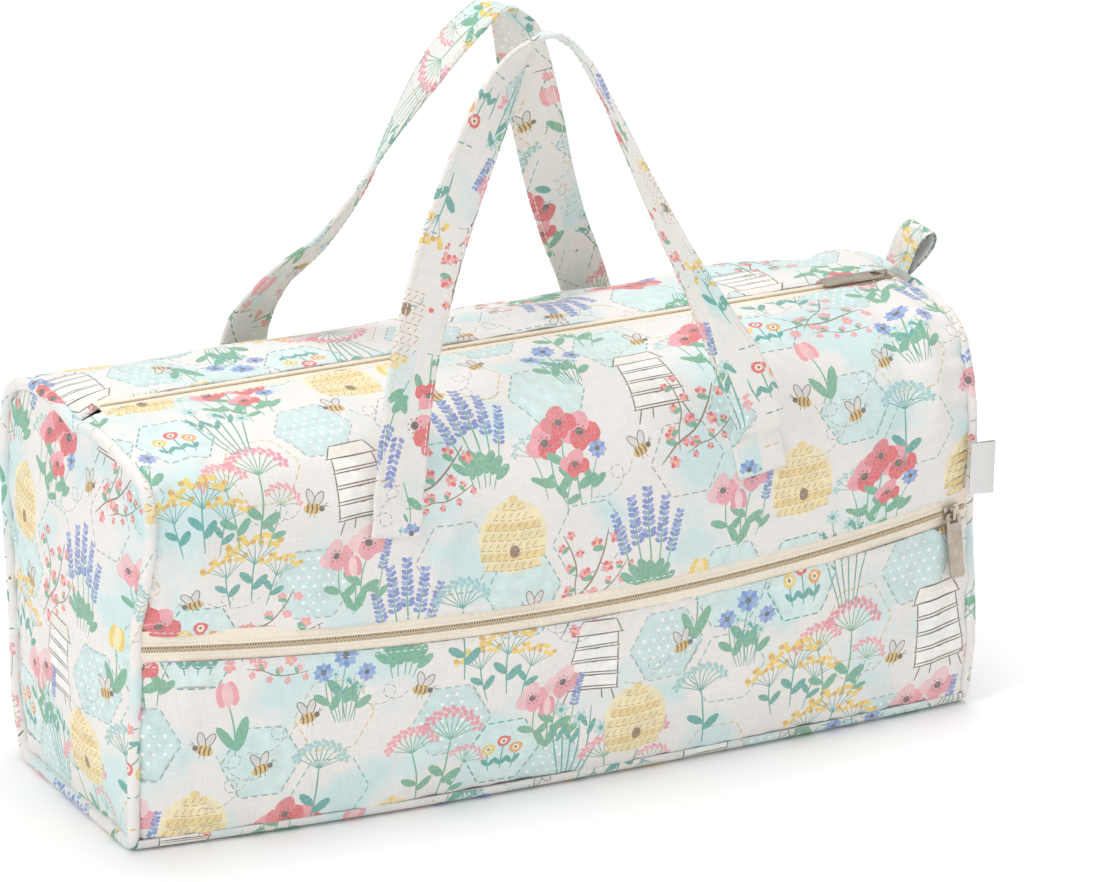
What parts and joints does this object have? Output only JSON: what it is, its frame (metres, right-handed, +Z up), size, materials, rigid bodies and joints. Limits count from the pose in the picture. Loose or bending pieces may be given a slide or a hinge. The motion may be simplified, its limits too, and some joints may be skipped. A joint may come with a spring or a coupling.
{
  "type": "knitting bag",
  "caption": "Soft rounded-box knitting bag of printed cloth with a zip along the top, a zipped needle pocket across the front, two flat carrying straps and an end tab.",
  "frame": {"origin": "middle of the flat underside, on the surface the bag stands on", "axes": "+X along the bag from its left end to the right end where both zips close, -Y out of the front with the needle pocket, +Z up"},
  "size_m": [0.4602, 0.1828, 0.366],
  "materials": {
    "printed_cloth": "matt printed linen-look cotton",
    "strap_cloth": "matt printed linen-look cotton",
    "piping": "matt printed cotton over cord",
    "lining": "plain woven lining",
    "board": "stiff base board",
    "zip_tape": "satin woven polyester tape",
    "zip_coil": "nylon coil",
    "zip_metal": "warm satin nickel",
    "label": "folded satin ribbon"
  },
  "bodies": {
    "bag": {"front_lower_panel": "printed_cloth", "front_upper_panel": "printed_cloth", "back_panel": "printed_cloth", "base_panel": "printed_cloth", "base_board": "board", "base_lining": "lining", "back_lining": "lining", "needle_pocket_wall": "lining", "left_end_panel": "printed_cloth", "left_piping": "piping", "left_end_lining": "lining", "right_end_panel": "printed_cloth", "right_piping": "piping", "right_end_lining": "lining", "top_zip_tape_front": "zip_tape", "top_zip_coil_front": "zip_coil", "top_zip_tape_back": "zip_tape", "top_zip_coil_back": "zip_coil", "front_zip_tape_lower": "zip_tape", "front_zip_coil_lower": "zip_coil", "front_zip_tape_upper": "zip_tape", "front_zip_coil_upper": "zip_coil", "front_handle_foot_left": "strap_cloth", "front_handle_foot_right": "strap_cloth", "back_handle_foot_left": "strap_cloth", "back_handle_foot_right": "strap_cloth", "side_label": "label"},
    "top_slider": {"top_zip_slider": "zip_metal"},
    "top_pull": {"top_zip_pull": "zip_metal"},
    "front_slider": {"front_zip_slider": "zip_metal"},
    "front_pull": {"front_zip_pull": "zip_metal"},
    "front_strap": {"front_handle": "strap_cloth"},
    "back_strap": {"back_handle": "strap_cloth"},
    "end_tab": {"end_tab_loop": "strap_cloth"}
  },
  "joints": [
    {"name": "top_zip_slide", "type": "slide", "parent": "bag", "child": "top_slider", "axis": [-1, 0, 0], "range_m": [0, 0.4]},
    {"name": "top_pull_lift", "type": "hinge", "parent": "top_slider", "child": "top_pull", "pos_m": [0.20625, 0, 0.2016], "axis": [0, 1, 0], "range_deg": [0, 110]},
    {"name": "front_zip_slide", "type": "hinge", "parent": "bag", "child": "front_slider", "pos_m": [0, 0.91332, 0.5448], "axis": [0, 0.4084, -0.9128], "range_deg": [0, 21.64]},
    {"name": "front_pull_lift", "type": "hinge", "parent": "front_slider", "child": "front_pull", "pos_m": [0.20826, -0.07447, 0.10286], "axis": [-0.9847, -0.1723, 0.0274], "range_deg": [0, 140]},
    {"name": "front_strap_fold", "type": "hinge", "parent": "bag", "child": "front_strap", "pos_m": [0, -0.0875, 0.17415], "axis": [1, 0, 0], "range_deg": [-3, 150]},
    {"name": "back_strap_fold", "type": "hinge", "parent": "bag", "child": "back_strap", "pos_m": [0, 0.0875, 0.17415], "axis": [-1, 0, 0], "range_deg": [-3, 150]},
    {"name": "end_tab_fold", "type": "hinge", "parent": "bag", "child": "end_tab", "pos_m": [0.216, 0, 0.2032], "axis": [0, 1, 0], "range_deg": [-49, 46]}
  ]
}
